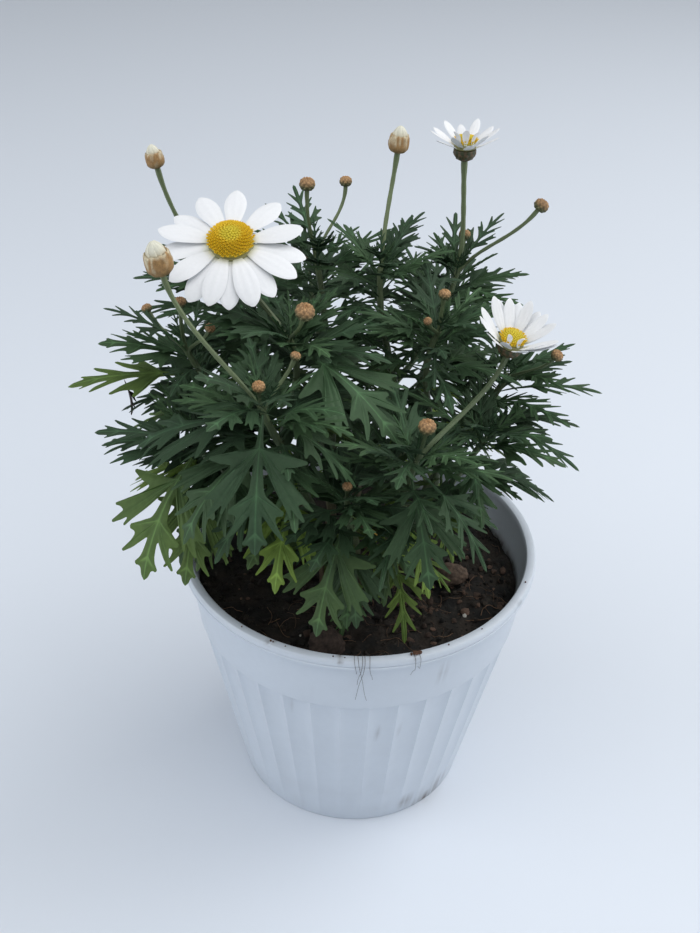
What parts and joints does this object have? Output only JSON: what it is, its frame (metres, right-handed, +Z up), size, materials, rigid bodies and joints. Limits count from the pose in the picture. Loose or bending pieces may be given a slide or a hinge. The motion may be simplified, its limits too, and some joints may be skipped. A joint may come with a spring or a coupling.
{
  "type": "potted marguerite daisy",
  "caption": "Bushy marguerite daisy with deeply cut leaves, white daisy blooms and round buds, growing in soil in a tapered round pot with a rolled lip and fluted side.",
  "frame": {"origin": "centre of the pot's underside, on the face of the pad under its floor, on the pot's axis", "axes": "+Z up along the pot's axis, -Y towards the front of the plant, where its largest bloom leans, +X to the right seen from the front"},
  "size_m": [0.2139, 0.206, 0.305],
  "materials": {
    "pot": "satin",
    "soil": "matte",
    "clod": "matte",
    "foliage": "matte",
    "petal": "matte",
    "disc": "matte",
    "bud": "matte",
    "bud_tip": "matte"
  },
  "bodies": {
    "root": {"pot": "pot", "soil": "soil", "soil_clod_right": "clod", "soil_clod_front": "clod", "leafy_stem_front_left": "foliage", "leafy_stem_front": "foliage", "leafy_stem_front_right": "foliage", "leafy_stem_left": "foliage", "leafy_stem_right": "foliage", "leafy_stem_back_left": "foliage", "leafy_stem_back_right": "foliage", "leafy_stem_back": "foliage", "bloom_front_petals": "petal", "bloom_front_disc": "disc", "bloom_right_petals": "petal", "bloom_right_disc": "disc", "bloom_back_petals": "petal", "bloom_back_disc": "disc", "white_bud_front_cup": "bud", "white_bud_front_tuft": "bud_tip", "white_bud_left_cup": "bud", "white_bud_left_tuft": "bud_tip", "white_bud_top_cup": "bud", "white_bud_top_tuft": "bud_tip", "closed_bud_back_left": "bud", "closed_bud_back_middle": "bud", "closed_bud_far_right": "bud", "closed_bud_middle": "bud", "closed_bud_front_right": "bud", "closed_bud_centre": "bud", "closed_bud_centre_low": "bud", "closed_bud_right": "bud", "closed_bud_low_middle": "bud", "closed_bud_front_left": "bud", "closed_bud_left": "bud", "closed_bud_left_high": "bud", "closed_bud_far_left": "bud", "closed_bud_back_right": "bud", "closed_bud_front": "bud", "closed_bud_back": "bud"}
  },
  "joints": []
}
